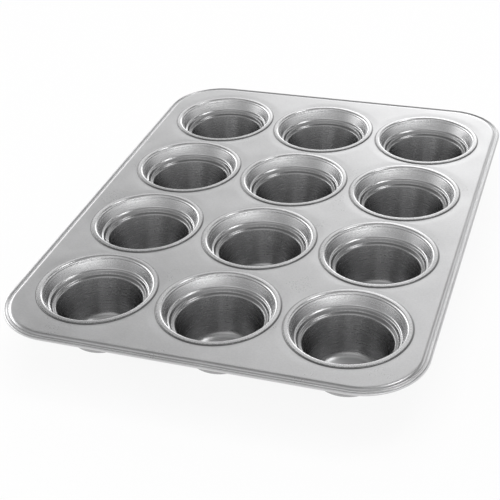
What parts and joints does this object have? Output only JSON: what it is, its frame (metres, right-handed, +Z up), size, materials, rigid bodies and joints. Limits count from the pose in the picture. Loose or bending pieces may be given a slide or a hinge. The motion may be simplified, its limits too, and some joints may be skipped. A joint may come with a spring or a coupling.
{
  "type": "jumbo muffin pan",
  "caption": "Rectangular baking pan with a rolled wire rim and separate deep stepped cups locked into holes in its plate.",
  "frame": {"origin": "under the middle of the pan, on the plane that the cups stand on", "axes": "+Z up out of the cups, +Y along the pan's long side, away from the viewer of the picture, +X along its short side, to the viewer's right"},
  "size_m": [0.333, 0.4444, 0.048],
  "materials": {
    "frame_steel": "satin aluminised sheet with a fine mottled grain",
    "wire_steel": "plain drawn steel wire",
    "cup_steel": "drawn aluminised sheet with fine streaks round the walls"
  },
  "bodies": {
    "root": {"pan_frame": "frame_steel", "rim_wire": "wire_steel", "cup_row_1_column_1": "cup_steel", "cup_row_1_column_2": "cup_steel", "cup_row_1_column_3": "cup_steel", "cup_row_2_column_1": "cup_steel", "cup_row_2_column_2": "cup_steel", "cup_row_2_column_3": "cup_steel", "cup_row_3_column_1": "cup_steel", "cup_row_3_column_2": "cup_steel", "cup_row_3_column_3": "cup_steel", "cup_row_4_column_1": "cup_steel", "cup_row_4_column_2": "cup_steel", "cup_row_4_column_3": "cup_steel"}
  },
  "joints": []
}
